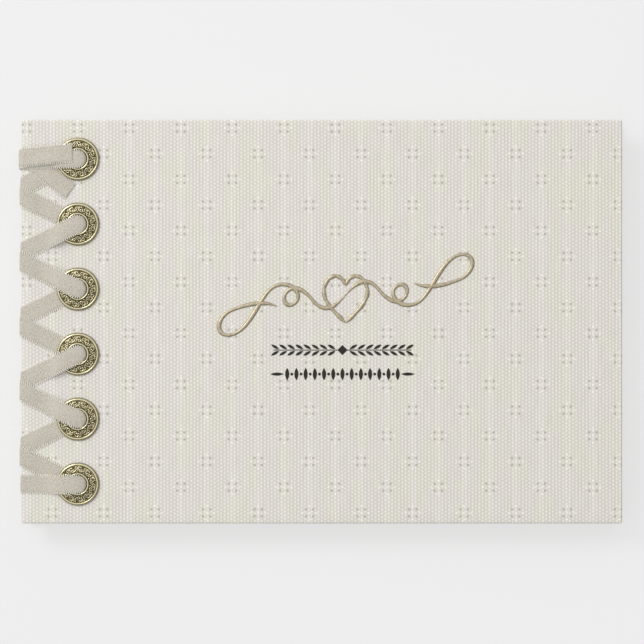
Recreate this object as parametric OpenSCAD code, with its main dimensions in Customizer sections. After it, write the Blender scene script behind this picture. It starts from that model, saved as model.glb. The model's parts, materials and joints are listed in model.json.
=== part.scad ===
// Ribbon-laced wedding guest book, lying closed with its front cover up.
// X runs from the spine to the fore-edge, Y from tail to head, Z from back cover to front cover.
// The origin is the centre of the bounding box's bottom face.

/* [Covers] */
// Width of a cover, spine edge to fore-edge
cover_w = 235; // [200:1:260]
// Height of a cover, tail to head
cover_h = 158; // [150:1:180]
// Thickness of the grey board inside a cover
board_t = 2.2; // [1.8:0.1:3]
// Thickness of the woven covering cloth
cloth_t = 0.35; // [0.25:0.05:0.5]
// Width of the binding strip that carries the eyelets
strip_w = 33; // [32:0.5:34]
// Gap between the binding strip and the cover panel, where the cloth folds
joint_gap = 3; // [2:0.5:4]

/* [Leaves] */
// Thickness of one leaf of card
leaf_t = 0.22; // [0.16:0.02:0.24]
// Distance from one leaf to the next
leaf_pitch = 0.27; // [0.26:0.01:0.35]
// Leaves that stay in the middle of the block
still_leaves = 14; // [6:1:24]
// Leaves at each end of the block that turn with a cover, flyleaf included
turning_leaves = 5; // [5:1:5]
// How far the covers stand beyond the leaves at head, tail and fore-edge
square = 3; // [2:0.5:4]
// Distance from the spine edge to the fold of each turning leaf
leaf_fold_x = 46; // [45:0.5:50]

/* [Eyelets and ribbon] */
// Number of eyelets along a cover
eyelets = 6; // [6:1:6]
// Distance from one eyelet to the next
eyelet_pitch = 25.4; // [25:0.1:27]
// Distance from the spine edge to the eyelets' centres
eyelet_inset = 22.2; // [22:0.1:23]
// Radius of an eyelet's flange
flange_r = 8.4; // [8:0.1:8.6]
// Radius of an eyelet's bore
bore_r = 3.55; // [3.5:0.05:3.7]
// Width of the ribbon
ribbon_w = 6.2; // [5.6:0.1:6.2]
// Thickness of the ribbon
ribbon_t = 0.3; // [0.2:0.05:0.3]
// Angle of the lacing strands to the X axis
lace_angle = 26; // [24:0.5:27]

/* [Hidden] */

// Clearance between things that lie on each other
slack = 0.05;
lining_t = 0.15;
turn_in_w = 12;
turn_in_t = 0.2;
cover_t = board_t + cloth_t + lining_t;
hole_r = bore_r + 0.4;

// The ribbon's tie stands this far out of the spine, and sets where the spine is
knot_out = 1.4;
spine_x = -(cover_w - knot_out) / 2;
hinge_x = spine_x + strip_w + joint_gap / 2;
panel_x = spine_x + strip_w + joint_gap;
fore_x = spine_x + cover_w;
fold_x = spine_x + leaf_fold_x;
eyelet_x = spine_x + eyelet_inset;

// Heights: back cloth, leaves, front cloth
back_flange_t = 0.5;
back_z = back_flange_t + 2 * (ribbon_t + slack);
leaf_count = still_leaves + 2 * turning_leaves;
leaves_z = back_z + cover_t + slack;
front_z = leaves_z + leaf_count * leaf_pitch + cover_t;

// Eyelet shape above and inside the cover
stand_off = 0.5;
flange_top = 1.55;
slot_w = ribbon_w + 0.9;
barrel_t = 0.35;
counterbore_r = 6.8;
counterbore_d = 0.75;
washer_r = 6.5;
washer_t = 0.3;
clinch_t = 0.3;
back_flange_r = 6;

// Leaves
leaf_spine_inset = 1.5;
leaf_hole_r = 3.9;
fold_flex = 3;
leaf_h = cover_h - 2 * square;
leaf_end_x = fore_x - square;

function eyelet_y(k) = ((eyelets + 1) / 2 - k) * eyelet_pitch;
function leaf_z(i) = leaves_z + i * leaf_pitch;

CLOTH = [0.87, 0.85, 0.81];
BOARD = [0.62, 0.58, 0.52];
PAPER = [0.96, 0.95, 0.92];
BRASS = [0.62, 0.57, 0.42];
RIBBON = [0.79, 0.76, 0.70];
GOLD = [0.76, 0.68, 0.47];
INK = [0.10, 0.09, 0.08];

/* ---- covers: each is drawn face down at z = 0, outer face first, and turned over for the front ---- */

module box(x0, x1, h, z0, z1) {
    translate([x0, -h / 2, z0]) cube([x1 - x0, h, z1 - z0]);
}

// Puts a cover drawn with its outer face at z = 0 and its inner face up into the back or the front
module back_place() translate([0, 0, back_z]) children();
module front_place() translate([0, 0, front_z]) mirror([0, 0, 1]) children();

module eyelet_holes(r, z0, z1) {
    for (k = [1:eyelets])
        translate([eyelet_x, eyelet_y(k), z0]) cylinder(h = z1 - z0, r = r, $fn = 64);
}

// Board with a shallow rebate where the cloth's turn-in lies, on the edges that are turned in
module board_slab(x0, x1, left_turned, right_turned) {
    bx0 = x0 + (left_turned ? cloth_t : 0);
    bx1 = x1 - (right_turned ? cloth_t : 0);
    bh = cover_h - 2 * cloth_t;
    inner_z = cloth_t + board_t;
    union() {
        box(bx0, bx1, bh, cloth_t, inner_z - turn_in_t);
        box(bx0 + (left_turned ? turn_in_w : 0), bx1 - (right_turned ? turn_in_w : 0),
            bh - 2 * turn_in_w, inner_z - turn_in_t, inner_z);
    }
}

// Cloth shell: outer face, turned edges and turn-ins
module cloth_shell(x0, x1, left_turned, right_turned) {
    inner_z = cloth_t + board_t;
    wx0 = x0 + (left_turned ? cloth_t : -1);
    wx1 = x1 - (right_turned ? cloth_t : -1);
    difference() {
        box(x0, x1, cover_h, 0, inner_z);
        box(wx0, wx1, cover_h - 2 * cloth_t, cloth_t, inner_z - turn_in_t);
        box(wx0 + (left_turned ? turn_in_w : 0), wx1 - (right_turned ? turn_in_w : 0),
            cover_h - 2 * cloth_t - 2 * turn_in_w, inner_z - turn_in_t - 0.1, inner_z + 1);
    }
}

module panel_board() {
    color(BOARD) board_slab(panel_x, fore_x, false, true);
}

// The panel's cloth reaches to the hinge line, over half of the joint gap
module panel_cloth() {
    color(CLOTH) difference() {
        cloth_shell(hinge_x + 0.1, fore_x, false, true);
        box(hinge_x - 1, panel_x, cover_h + 2, cloth_t, cover_t);
    }
}

module panel_lining() {
    color(PAPER) box(panel_x, fore_x - square, cover_h - 2 * square, cloth_t + board_t, cover_t);
}

module strip_board() {
    color(BOARD) difference() {
        board_slab(spine_x, spine_x + strip_w, true, false);
        eyelet_holes(hole_r, 0, cover_t);
        eyelet_holes(counterbore_r, cover_t - counterbore_d, cover_t + 1);
    }
}

module strip_cloth() {
    color(CLOTH) difference() {
        cloth_shell(spine_x, hinge_x - 0.1, true, false);
        box(spine_x + strip_w, hinge_x + 1, cover_h + 2, cloth_t, cover_t);
        eyelet_holes(hole_r, -1, cloth_t + 0.5);
        eyelet_holes(counterbore_r, cover_t - counterbore_d, cover_t + 1);
    }
}

module strip_lining() {
    color(PAPER) difference() {
        box(spine_x + leaf_spine_inset, spine_x + strip_w, cover_h - 2 * square, cloth_t + board_t, cover_t);
        eyelet_holes(counterbore_r, 0, cover_t + 1);
    }
}

/* ---- eyelets, drawn on a cloth face at z = 0 with the cover below it ---- */

// Front eyelet: a raised ornamental flange on a barrel, with a passage for one strand under it
module front_eyelet(k) {
    // Each strand that lies under a flange comes in from above or below the spine's side in turn
    slot_angle = k % 2 == 1 ? 180 + lace_angle : 180 - lace_angle;
    barrel_end = -cover_t + counterbore_d - washer_t - clinch_t;
    color(BRASS) translate([eyelet_x, eyelet_y(k), front_z]) difference() {
        rotate_extrude($fn = 96) polygon([
            [bore_r, barrel_end], [bore_r + 1.1, barrel_end], [bore_r + 1.1, barrel_end + clinch_t],
            [bore_r + barrel_t, barrel_end + clinch_t], [bore_r + barrel_t, stand_off],
            [flange_r - 0.7, stand_off], [flange_r - 0.7, 0.01], [flange_r - 0.1, 0.01],
            [flange_r, 0.35], [flange_r - 0.15, 0.95], [flange_r - 0.55, 1.3], [flange_r - 1, 1.2],
            [flange_r - 1.2, 1.05], [bore_r + 1.4, 1.25], [bore_r + 1.15, flange_top - 0.05],
            [bore_r + 0.7, flange_top], [bore_r + 0.25, flange_top - 0.2], [bore_r, 1]
        ]);
        rotate([0, 0, slot_angle]) translate([0.2, -slot_w / 2, 0])
            cube([flange_r + 1, slot_w, stand_off]);
    }
}

// Back eyelet: the same barrel with a plain flat flange
module back_eyelet(k) {
    barrel_end = -cover_t + counterbore_d - washer_t - clinch_t;
    color(BRASS) translate([eyelet_x, eyelet_y(k), back_z]) mirror([0, 0, 1])
        rotate_extrude($fn = 96) polygon([
            [bore_r, barrel_end], [bore_r + 1.1, barrel_end], [bore_r + 1.1, barrel_end + clinch_t],
            [bore_r + barrel_t, barrel_end + clinch_t], [bore_r + barrel_t, 0],
            [back_flange_r, 0], [back_flange_r, 0.15], [back_flange_r - 0.35, back_flange_t],
            [bore_r + 0.35, back_flange_t], [bore_r, back_flange_t - 0.25]
        ]);
}

// Flat washers that the barrels are clinched over, sunk in the boards' inner faces
module washers(base_z, way) {
    seat = cover_t - counterbore_d;
    color(BRASS) for (k = [1:eyelets])
        translate([eyelet_x, eyelet_y(k), base_z - way * (seat + washer_t / 2)])
            difference() {
                cylinder(h = washer_t, r = washer_r, center = true, $fn = 64);
                cylinder(h = washer_t + 1, r = bore_r + barrel_t + slack, center = true, $fn = 64);
            }
}

/* ---- leaves ---- */

// The free part of a turning leaf; its paper bends in the gap between it and its stub
module turning_leaf(i) {
    color(PAPER) box(fold_x + fold_flex, leaf_end_x, leaf_h, leaf_z(i), leaf_z(i) + leaf_t);
}

module leaf_stub(i, end_x) {
    color(PAPER) difference() {
        box(spine_x + leaf_spine_inset, end_x, leaf_h, leaf_z(i), leaf_z(i) + leaf_t);
        eyelet_holes(leaf_hole_r, leaf_z(i) - 1, leaf_z(i) + 1);
    }
}

module turning_leaf_stubs() {
    for (i = [0:turning_leaves - 1]) {
        leaf_stub(i, fold_x - 0.5);
        leaf_stub(leaf_count - 1 - i, fold_x - 0.5);
    }
}

module leaf_block() {
    for (i = [turning_leaves:turning_leaves + still_leaves - 1]) leaf_stub(i, leaf_end_x);
}

/* ---- ribbon: a flat strip swept along stations [x, y, z, width along Y, x part of the width] ---- */

// Height of the middle of a ribbon that lies on a face, and what each ribbon below it adds
on_face = slack + ribbon_t / 2;
layer = ribbon_t + slack;
lace_w = ribbon_w / cos(lace_angle);
edge_run = eyelet_inset * tan(lace_angle);
// A ribbon is drawn together a little inside a bore, where its two passes lie on either side
bore_w = 5.6;
near_x = -1;
far_x = 1;

// How far a strand has moved sideways at x from its eyelet's centre, for each unit of its slope
function sideways(x) = x > -1.3 ? 0 : x > -4 ? -4 * (x + 1.3) / 2.7 : -x;
function strand_w(x, dir) = x > -2.5 ? bore_w : dir == 0 ? ribbon_w : lace_w;

// One strand on the front, from inside the bore of eyelet k to the spine edge.
// dir is 1 for head-ward, -1 for tail-ward and 0 for straight; over says that it lies on the flange.
// low is its height on the cover and top its height at the spine edge.
function front_strand(k, dir, over, low, top) =
    let (t = dir * tan(lace_angle))
    concat(
        [for (p = over
            ? [[far_x, -0.6], [far_x - 0.05, 0.5], [0.7, 1.1], [0.1, 1.55], [-0.8, flange_top + 0.2],
                [-3, flange_top + 0.25], [-5, flange_top + 0.2], [-8, 1.55], [-9.3, 1.15],
                [-10.8, max(0.5, low)], [-12.5, low]]
            : [[near_x, -1.6], [near_x - 0.05, -0.7], [near_x - 0.3, -0.1], [near_x - 1.1, low],
                [-4, low], [-9, low], [-12.5, low]])
            [eyelet_x + p[0], eyelet_y(k) + t * sideways(p[0]), front_z + p[1], strand_w(p[0], dir), 0]],
        [for (p = [[7, low], [4.5, top], [0.3, top]])
            [spine_x + p[0], eyelet_y(k) + t * (eyelet_inset - p[0]), front_z + p[1], strand_w(-9, dir), 0]]);

// One strand on the back, from the spine edge into the bore of eyelet k.
// An outer strand goes to the far side of the bore, outside the inner one.
function back_strand(k, dir, outer, top) =
    let (t = dir * tan(lace_angle))
    concat(
        [for (p = [[0.3, top], [4.5, top], [7, on_face]])
            [spine_x + p[0], eyelet_y(k) + t * (eyelet_inset - p[0]), back_z - p[1], strand_w(-9, dir), 0]],
        [for (p = outer
            ? [[-12.5, on_face], [-10.5, 0.5], [-8.6, back_flange_t + on_face + layer],
                [0.1, back_flange_t + on_face + layer], [0.75, 0.7], [far_x, 0.1], [far_x, -1.5]]
            : [[-12.5, on_face], [-9, 0.3], [-6.6, back_flange_t + on_face],
                [-2.4, back_flange_t + on_face], [near_x - 0.25, 0.45], [near_x, -0.3], [near_x, -1.5]])
            [eyelet_x + p[0], eyelet_y(k) + t * sideways(p[0]), back_z - p[1], strand_w(p[0], dir), 0]]);

// Round the spine from a front height to a back height; out is how far the strip's middle stands off
function spine_run(y_front, y_back, w, out) =
    [for (p = [[0.75, 0, front_z + 0.75 * out], [1, 0.03, front_z - 0.2], [1, 0.5, tie_z],
            [1, 0.97, back_z + 0.2], [0.75, 1, back_z - 0.75 * out]])
        [spine_x - p[0] * out, y_front + (y_back - y_front) * p[1], p[2], w, 0]];

// A whole turn: up the bore of eyelet a, over the front, round the spine, and to the back of eyelet b
function turn(a, b, over_a, outer_b, out) =
    let (dir = sign(a - b), y_front = eyelet_y(a) + dir * edge_run, y_back = eyelet_y(b) - dir * edge_run)
    concat(front_strand(a, dir, over_a, on_face, out),
        spine_run(y_front, y_back, dir == 0 ? ribbon_w : lace_w, out),
        back_strand(b, -dir, outer_b, out));

inner_out = on_face;
outer_out = on_face + layer;
tie_z = (front_z + back_z) / 2;
tie_start = [for (p = [[1, tie_z - 0.4], [1, back_z + 0.2], [0.75, back_z - 0.75 * inner_out]])
    [spine_x - p[0] * inner_out, eyelet_y(1), p[1], ribbon_w, 0]];
tie_end = [for (p = [[0.75, front_z + on_face + 1.6 * layer], [1, front_z + 0.2], [1, tie_z + 0.4]])
    [spine_x - p[0] * outer_out, eyelet_y(1), p[1], ribbon_w, 0]];

// The ribbon's whole route: down the book on one set of strands and back up on the other
lacing = concat(
    tie_start, back_strand(1, 0, false, on_face),
    [for (k = [1:eyelets - 1]) each turn(k, k + 1, k % 2 == 0, (k + 1) % 2 == 0, inner_out)],
    turn(eyelets, eyelets, true, false, inner_out),
    [for (k = [eyelets:-1:2]) each turn(k, k - 1, k % 2 == 1, k % 2 == 0, outer_out)],
    front_strand(1, 0, true, on_face + 2 * layer, on_face + 2 * layer), tie_end);

function unit(v) = v / max(norm(v), 1e-9);

// Corners of the strip at station i: the normal is square to the path in the XZ plane
function strip_ring(s, i) =
    let (a = s[max(i - 1, 0)], b = s[min(i + 1, len(s) - 1)],
        d = unit([b[0] - a[0], b[2] - a[2]]), n = [-d[1], 0, d[0]] * ribbon_t / 2,
        c = [s[i][0], s[i][1], s[i][2]], w = [s[i][4], s[i][3], 0] / 2)
    [c - w - n, c + w - n, c + w + n, c - w + n];

module strip(stations) {
    count = len(stations);
    points = [for (i = [0:count - 1]) each strip_ring(stations, i)];
    faces = concat(
        [[0, 1, 2, 3]],
        [for (i = [0:count - 2]) for (j = [0:3]) each
            [[4 * i + j, 4 * i + 4 + j, 4 * i + 4 + (j + 1) % 4],
            [4 * i + j, 4 * i + 4 + (j + 1) % 4, 4 * i + (j + 1) % 4]]],
        [[4 * count - 1, 4 * count - 2, 4 * count - 3, 4 * count - 4]]);
    color(RIBBON) polyhedron(points, faces);
}

module lacing_ribbon() strip(lacing);

// The tie: a turn of ribbon round the strands where they meet on the spine
tie_half = ribbon_w / 2 + 0.2;
tie_depth = knot_out + 0.5;
module ribbon_knot() {
    color(RIBBON) translate([spine_x - knot_out, eyelet_y(1), tie_z]) difference() {
        translate([0, -tie_half - ribbon_t, -2.25]) cube([tie_depth, 2 * (tie_half + ribbon_t), 4.5]);
        translate([ribbon_t, -tie_half, -3]) cube([tie_depth - 2 * ribbon_t, 2 * tie_half, 6]);
    }
}

// Upper tail: up from the tie, over the top strand and onto the flange of eyelet 1
module ribbon_tail_upper() {
    out = on_face + 2 * layer;
    rise = on_face + 3 * layer;
    strip([for (p = [[-out, 0, tie_z - front_z + 0.4], [-out, 0, 0.3], [-0.75 * out, 0, rise - 0.15],
            [0.3, 0.1, rise], [5, 0.6, rise + 0.05], [9, 1, rise + 0.25], [12, 1.4, 1.9],
            [14.5, 1.7, flange_top + 0.7], [18, 2, flange_top + 0.75], [20, 2.2, flange_top + 0.7]])
        [spine_x + p[0], eyelet_y(1) + p[1], front_z + p[2], ribbon_w, 0]]);
}

// Lower tail: up from the tie, under the top strand and down across the cover to its cut end
module ribbon_tail_lower() {
    tail_angle = 37;
    start_y = 2.1;
    out = on_face;
    rise = on_face + layer;
    wy = ribbon_w / cos(tail_angle);
    strip([for (p = [[-out, 0.1, tie_z - front_z + 0.4, ribbon_w, 0], [-out, 0.1, -0.3, ribbon_w, 0],
            [-0.75 * out, 0.6, 0.75 * out, ribbon_w, 0], [0.3, start_y - 0.3 * tan(tail_angle) - 1, out, 6.6, 0],
            [2, start_y - 2 * tan(tail_angle) - 0.3, out + 0.05, 7.2, 0],
            [4, start_y - 4 * tan(tail_angle), rise, wy, 0], [9, start_y - 9 * tan(tail_angle), rise, wy, 0],
            [16.6, start_y - 16.6 * tan(tail_angle), rise, wy, 0],
            [19.2, start_y - 19.2 * tan(tail_angle), on_face + 0.05, ribbon_w * cos(tail_angle),
                ribbon_w * sin(tail_angle)]])
        [spine_x + p[0], eyelet_y(1) + p[1], front_z + p[2], p[3], p[4]]]);
}

/* ---- title ornament and the two printed bands ---- */

title_x = spine_x + 126.8;
title_y = 10.5;
title_w = 1.35;
title_t = 0.5;

bands_x = title_x - 1.25;
name_band_y = -11.1;
date_band_y = -20.5;
band_t = 0.12;
sprig_leaf = [3.5, 1.1];
sprig_step = 3.15;
upright_leaf = [4.8, 1.6];
upright_step = 3.6;
dash = [5.2, 1.2];

function bezier(p, t) = let (u = 1 - t)
    u * u * u * p[0] + 3 * u * u * t * p[1] + 3 * u * t * t * p[2] + t * t * t * p[3];
function bezier_slope(p, t) = let (u = 1 - t)
    3 * (u * u * (p[1] - p[0]) + 2 * u * t * (p[2] - p[1]) + t * t * (p[3] - p[2]));

// A pen stroke along one curve, thin at both ends
module stroke(p, thick, ends = [1, 1], steps = 14) {
    side = [for (i = [0:steps]) let (t = i / steps, q = bezier(p, t), d = unit(bezier_slope(p, t)),
        h = thick / 2 * (ends[0] * (1 - t) + ends[1] * t))
        [q - h * [-d[1], d[0]], q + h * [-d[1], d[0]]]];
    polygon(concat([for (s = side) s[0]], [for (i = [steps:-1:0]) side[i][1]]));
    for (e = [[0, ends[0]], [3, ends[1]]]) translate(p[e[0]]) circle(d = thick * e[1] + 0.06, $fn = 48);
}

// Half of the ornament; the other half is the same turned by 180 degrees
HALF_FLOURISH = [
    [[0, 0], [5, 6], [9, 7], [13, 2]],
    [[13, 2], [17, -3], [21, -4], [23.5, -0.5]],
    [[23.5, -0.5], [25.5, 3], [22, 5.5], [19.5, 3]],
    [[19.5, 3], [16, -1], [23, -7], [29, -2.5]],
    [[29, -2.5], [34, 1.5], [37, 13], [44, 15.5]],
    [[44, 15.5], [51, 17.5], [51.5, 9], [44.5, 6]],
    [[44.5, 6], [37, 3], [31, 2.5], [27, 4.5]]
];
module flourish_2d() {
    for (turned = [0, 180]) rotate(turned) for (p = HALF_FLOURISH) stroke(p, title_w);
    // A plain heart drawn in line at the centre
    for (side = [-1, 1]) {
        stroke([[0, -11], [side * 5, -6], [side * 11, -1], [side * 7.5, 5]], title_w);
        stroke([[side * 7.5, 5], [side * 5, 9], [side * 1, 7.5], [0, 3.5]], title_w);
    }
}

module title_flourish() {
    color(GOLD) translate([title_x, title_y, front_z]) linear_extrude(title_t) flourish_2d();
}

// A leaf pointed at both ends, size its length and width
module pointed_leaf(size) {
    long = size[0];
    wide = size[1];
    r = (long * long / 4 + wide * wide / 4) / wide;
    intersection() {
        translate([0, wide / 2 - r]) circle(r = r, $fn = 240);
        translate([0, r - wide / 2]) circle(r = r, $fn = 240);
    }
}

// A sprig of leaves in pairs on a fine line, with a lozenge in its middle
module name_band() {
    color(INK) translate([bands_x, name_band_y, front_z]) linear_extrude(band_t) {
        square([54, 0.3], center = true);
        rotate(45) square(2.8, center = true);
        for (side = [-1, 1]) for (i = [0:7]) for (up = [-1, 1])
            translate([side * (4.3 + i * sprig_step), up * 1.25])
                rotate(side * up * 30) pointed_leaf(sprig_leaf);
    }
}

// A row of upright leaves and beads between two tapering dashes
module date_band() {
    color(INK) translate([bands_x, date_band_y, front_z]) linear_extrude(band_t) {
        for (i = [-6:6]) translate([i * upright_step, 0]) rotate(90) pointed_leaf(upright_leaf);
        for (i = [-6:5]) translate([(i + 0.5) * upright_step, 0]) circle(d = 1.1, $fn = 64);
        for (side = [-1, 1]) translate([side * (6 * upright_step + 4), 0]) pointed_leaf(dash);
    }
}

front_place() panel_board();  // front_panel_board
front_place() panel_cloth();  // front_panel_cloth
front_place() panel_lining();  // front_panel_lining
front_place() strip_board();  // front_strip_board
front_place() strip_cloth();  // front_strip_cloth
front_place() strip_lining();  // front_strip_lining
back_place() panel_board();  // back_panel_board
back_place() panel_cloth();  // back_panel_cloth
back_place() panel_lining();  // back_panel_lining
back_place() strip_board();  // back_strip_board
back_place() strip_cloth();  // back_strip_cloth
back_place() strip_lining();  // back_strip_lining
for (k = [1:eyelets]) {
    front_eyelet(k);
    back_eyelet(k);
}
washers(front_z, 1);  // front_eyelet_washers
washers(back_z, -1);  // back_eyelet_washers
turning_leaf(0);  // back_flyleaf
turning_leaf(1);  // leaf_22
turning_leaf(2);  // leaf_21
turning_leaf(3);  // leaf_20
turning_leaf(4);  // leaf_19
turning_leaf(leaf_count - 5);  // leaf_04
turning_leaf(leaf_count - 4);  // leaf_03
turning_leaf(leaf_count - 3);  // leaf_02
turning_leaf(leaf_count - 2);  // leaf_01
turning_leaf(leaf_count - 1);  // front_flyleaf
turning_leaf_stubs();
leaf_block();
lacing_ribbon();
ribbon_knot();
ribbon_tail_upper();
ribbon_tail_lower();
title_flourish();
name_band();
date_band();
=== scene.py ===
import bpy, bmesh, json, math
import numpy as np
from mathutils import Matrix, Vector


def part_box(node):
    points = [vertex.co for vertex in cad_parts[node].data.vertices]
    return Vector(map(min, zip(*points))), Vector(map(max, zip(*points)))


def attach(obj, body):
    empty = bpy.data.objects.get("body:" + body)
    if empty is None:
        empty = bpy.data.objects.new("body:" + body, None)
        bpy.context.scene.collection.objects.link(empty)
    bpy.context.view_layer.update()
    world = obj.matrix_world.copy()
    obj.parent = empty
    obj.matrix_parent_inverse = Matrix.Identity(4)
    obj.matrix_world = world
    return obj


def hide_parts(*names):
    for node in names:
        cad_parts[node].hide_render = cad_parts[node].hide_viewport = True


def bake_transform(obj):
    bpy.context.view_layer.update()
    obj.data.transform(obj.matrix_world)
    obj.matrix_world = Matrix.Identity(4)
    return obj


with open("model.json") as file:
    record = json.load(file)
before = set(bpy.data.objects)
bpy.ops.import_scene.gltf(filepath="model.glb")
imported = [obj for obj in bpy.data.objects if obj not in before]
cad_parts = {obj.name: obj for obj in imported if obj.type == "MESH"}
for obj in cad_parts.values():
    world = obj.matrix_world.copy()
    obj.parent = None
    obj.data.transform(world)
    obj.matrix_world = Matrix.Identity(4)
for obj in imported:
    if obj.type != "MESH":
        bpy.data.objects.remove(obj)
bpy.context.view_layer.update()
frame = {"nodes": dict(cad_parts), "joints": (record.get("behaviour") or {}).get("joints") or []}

# ------------------------------------------------------------------ sizes, all in metres
MM = 0.001


def lo(node):
    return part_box(node)[0]


def hi(node):
    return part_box(node)[1]


def middle(node):
    return (lo(node) + hi(node)) / 2


def joint(name):
    return next(j for j in frame["joints"] if j["name"] == name)


SPINE_X = lo("front_strip_cloth").x
FORE_X = hi("front_panel_cloth").x
HEAD_Y = hi("front_panel_cloth").y
TAIL_Y = lo("front_panel_cloth").y
COVER_X = (SPINE_X + FORE_X) / 2
FRONT_Z = hi("front_strip_cloth").z
BACK_Z = lo("back_strip_cloth").z
COVER_T = FRONT_Z - lo("front_strip_lining").z
LINING_T = hi("front_strip_lining").z - lo("front_strip_lining").z
HINGE_X = joint("front_cover_hinge")["pos_m"][0]
FOLD_X = joint("front_flyleaf_turn")["pos_m"][0]
CLOTH_T = 0.34 * MM
TURN_IN = 12 * MM
EYELETS = 6
EYELET_X = middle("front_eyelet_1").x
EYELET_Y = [middle(f"front_eyelet_{k}").y for k in range(1, EYELETS + 1)]
INSET = EYELET_X - SPINE_X
FLANGE_R = hi("front_eyelet_1").x - EYELET_X
CLOTH_HOLE_R = 3.93 * MM
LINING_HOLE_R = 6.8 * MM
LEAF_T = hi("front_flyleaf").z - lo("front_flyleaf").z
LEAF_PITCH = lo("front_flyleaf").z - lo("leaf_01").z
LEAF_HOLE_R = 3.9 * MM
RIBBON_T = 0.3 * MM
LACE_SLOPE = math.tan(math.radians(26))
SIDES = ("front", "back")
TURNING = {
    "front": ["front_flyleaf", "leaf_01", "leaf_02", "leaf_03", "leaf_04"],
    "back": ["back_flyleaf", "leaf_22", "leaf_21", "leaf_20", "leaf_19"],
}


# ------------------------------------------------------------------ small tools for meshes
WELD = 1e-7


def mesh_object(name, points, faces, smooth=True, loose=()):
    """A new mesh object at the origin, with its place in its points; loose holds edges without faces."""
    mesh = bpy.data.meshes.new(name)
    mesh.from_pydata([tuple(p) for p in points], loose, faces)
    mesh.update()
    if smooth and faces:
        mesh.shade_smooth()
    obj = bpy.data.objects.new(name, mesh)
    bpy.context.scene.collection.objects.link(obj)
    return obj


def settle(obj):
    """Turns an object and its modifiers into one plain mesh."""
    bpy.context.view_layer.update()
    depsgraph = bpy.context.evaluated_depsgraph_get()
    mesh = bpy.data.meshes.new_from_object(
        obj.evaluated_get(depsgraph), preserve_all_data_layers=True, depsgraph=depsgraph)
    mesh.name = obj.name
    obj.modifiers.clear()
    obj.data = mesh
    return obj


def discard(obj):
    bpy.data.objects.remove(obj)


def face_outwards(obj, weld=True):
    """Turns every face outwards, and first welds points that lie together."""
    mesh = bmesh.new()
    mesh.from_mesh(obj.data)
    if weld:
        bmesh.ops.remove_doubles(mesh, verts=mesh.verts, dist=WELD)
    bmesh.ops.recalc_face_normals(mesh, faces=mesh.faces)
    mesh.to_mesh(obj.data)
    mesh.free()
    return obj


def crease(obj, angle=40):
    """Smooth shading, with sharp edges kept where faces meet at more than angle degrees."""
    obj.data.shade_smooth()
    obj.data.set_sharp_from_angle(angle=math.radians(angle))
    return obj


def cut(obj, tool):
    """Cuts a tool's shape out of an object, and puts the tool away."""
    step = obj.modifiers.new("cut", "BOOLEAN")
    step.operation = "DIFFERENCE"
    step.solver = "EXACT"
    step.object = tool
    settle(obj)
    discard(tool)


def rounded(values):
    """Cuts the corners off a path of stations three times, which leaves a smooth curve; its ends stay."""
    path = np.array(values, float)
    for _ in range(3):
        a, b = path[:-1], path[1:]
        nearer = np.empty((2 * len(a), path.shape[1]))
        nearer[0::2] = 0.75 * a + 0.25 * b
        nearer[1::2] = 0.25 * a + 0.75 * b
        path = np.vstack([path[:1], nearer[1:-1], path[-1:]])
    return path


def ring_faces(rings, count, closed=False):
    """Faces between neighbouring rings of count points each; closed joins the last ring to the first."""
    faces = []
    for i in range(rings if closed else rings - 1):
        here, there = i * count, (i + 1) % rings * count
        for j in range(count):
            k = (j + 1) % count
            faces.append((here + j, here + k, there + k, there + j))
    return faces


def end_faces(total, count):
    """The two faces that close a tube of rings of count points each."""
    return [tuple(range(count)), tuple(total - 1 - j for j in range(count))]


def set_float_attribute(obj, name, values):
    layer = obj.data.attributes.new(name, "FLOAT", "POINT")
    layer.data.foreach_set("value", np.asarray(values, np.float32))


def set_vector_attribute(obj, name, values):
    layer = obj.data.attributes.new(name, "FLOAT_VECTOR", "POINT")
    layer.data.foreach_set("vector", np.asarray(values, np.float32).ravel())


def set_corner_uv(obj, per_vertex):
    """Gives each face corner the pattern coordinates of its vertex."""
    layer = obj.data.uv_layers.new(name="cut")
    corners = np.empty(len(obj.data.loops), np.int32)
    obj.data.loops.foreach_get("vertex_index", corners)
    layer.data.foreach_set("uv", np.asarray(per_vertex, np.float32)[corners].ravel())


def paint(obj, material):
    obj.data.materials.clear()
    obj.data.materials.append(material)
    return obj


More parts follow.
